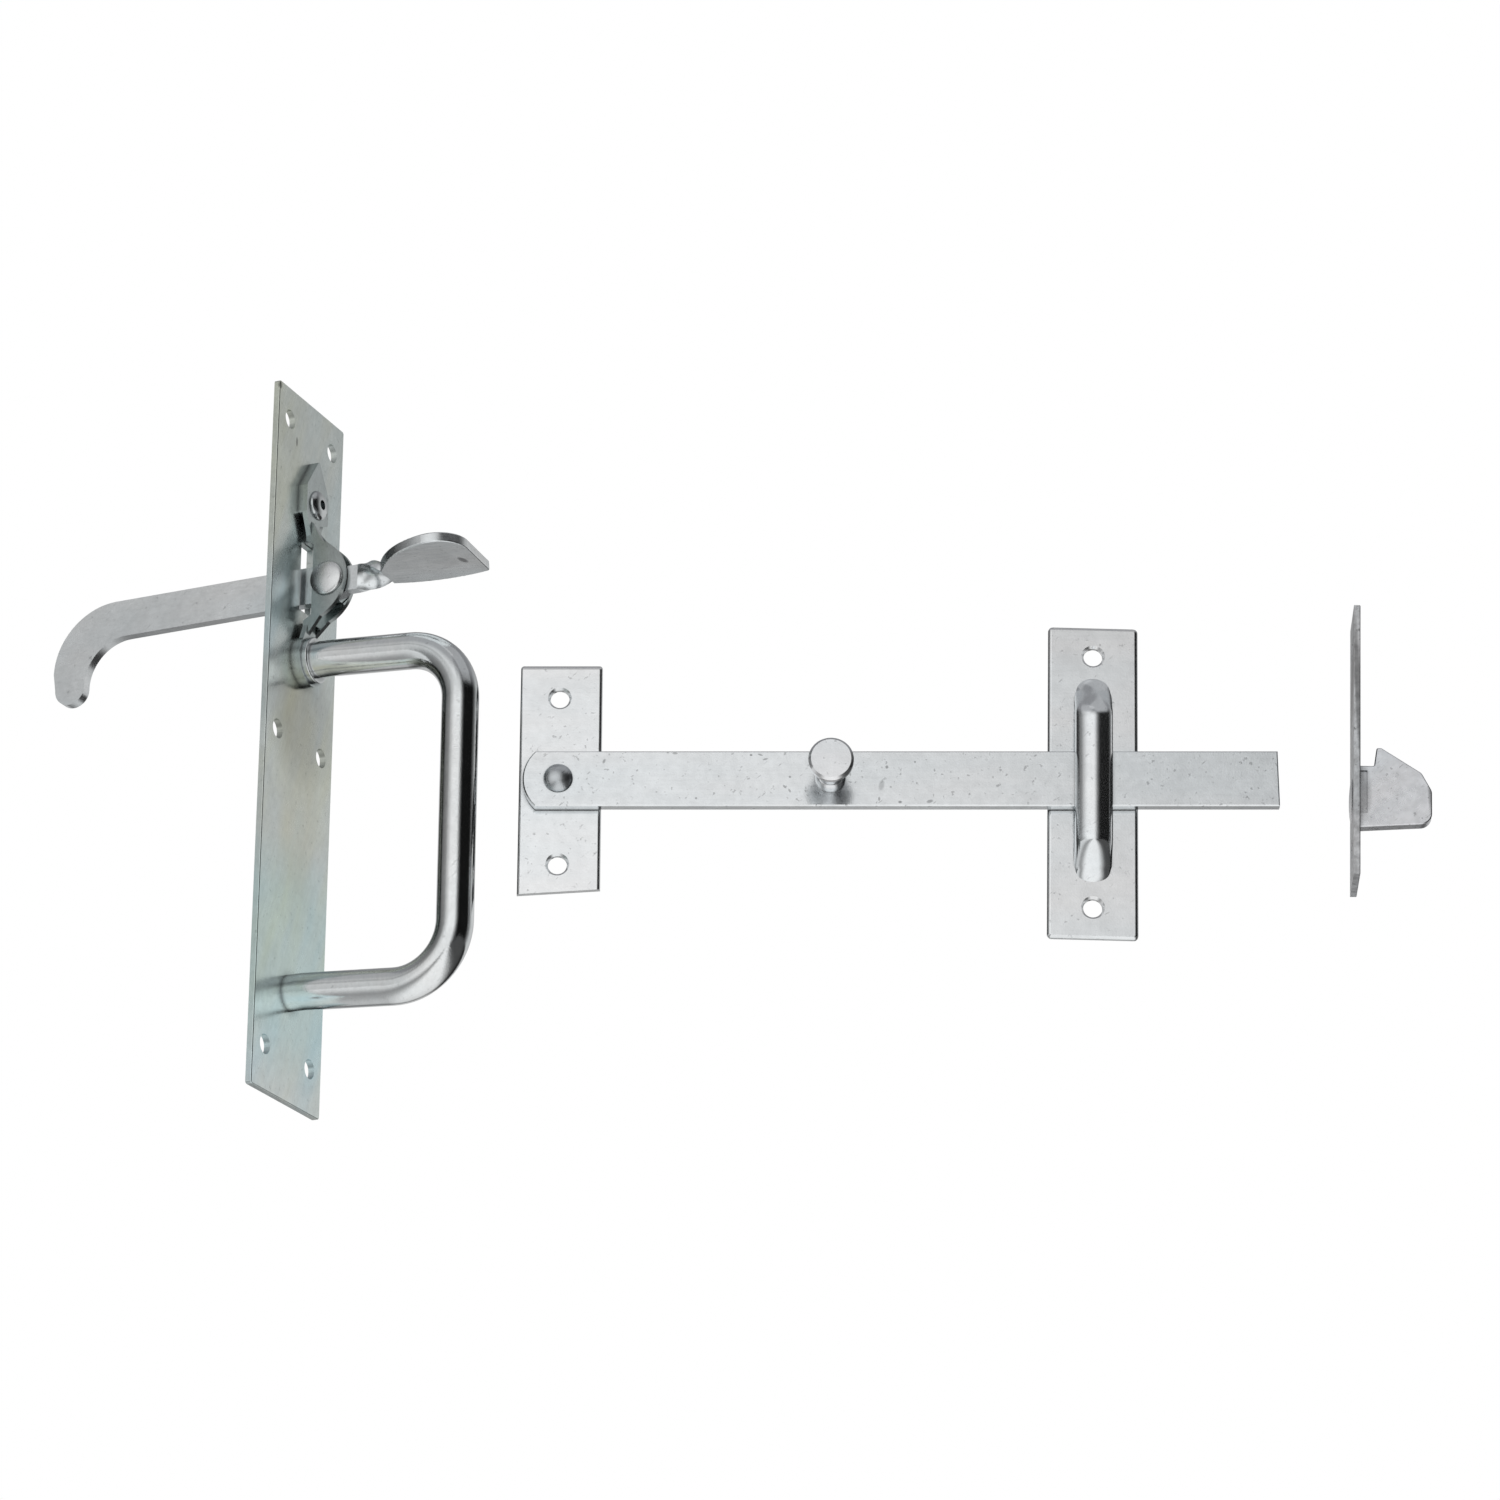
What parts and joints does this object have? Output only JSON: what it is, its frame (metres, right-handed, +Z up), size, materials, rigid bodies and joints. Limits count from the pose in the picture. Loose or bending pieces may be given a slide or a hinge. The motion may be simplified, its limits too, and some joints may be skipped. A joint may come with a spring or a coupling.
{
  "type": "suffolk latch",
  "caption": "Zinc plated Suffolk latch set: pull handle on a long plate with a pivoting thumb lever, a swinging latch bar with knob and keeper, and a riveted catch.",
  "frame": {"origin": "on the latch bar's pivot axis, at the back face of its pivot plate", "axes": "+X along the latch bar to its free end, +Z up as hung on a door, -Y out to the room"},
  "size_m": [0.3841, 0.0618, 0.205],
  "materials": {
    "satin_zinc": "satin bright zinc plate",
    "bright_zinc": "glossy bright zinc plate",
    "bar_zinc": "bright zinc plate with fine specks and scratches",
    "catch_zinc": "grainy zinc plate",
    "rivet_zinc": "bright zinc plate"
  },
  "bodies": {
    "fixed_set": {"handle_plate": "satin_zinc", "near_cheek_plate": "satin_zinc", "far_cheek_plate": "satin_zinc", "pull_handle": "bright_zinc", "leaf_rivet": "rivet_zinc", "lever_pivot_rivet": "rivet_zinc", "pivot_plate": "bar_zinc", "bar_pivot_rivet": "rivet_zinc", "arm_washer": "rivet_zinc", "keeper_plate": "bar_zinc", "catch_plate": "catch_zinc", "catch_hook": "catch_zinc"},
    "lever": {"thumb_lever": "satin_zinc"},
    "bar": {"latch_bar": "bar_zinc", "bar_knob": "bright_zinc"}
  },
  "joints": [
    {"name": "thumb_lever_pivot", "type": "hinge", "parent": "fixed_set", "child": "lever", "pos_m": [-0.06377, -0.00328, 0.059], "axis": [0.3907, 0.9205, 0], "range_deg": [-6, 25]},
    {"name": "latch_bar_pivot", "type": "hinge", "parent": "fixed_set", "child": "bar", "pos_m": [0, -0.0037, 0], "axis": [0, -1, 0], "range_deg": [-3.8, 4.2]}
  ]
}
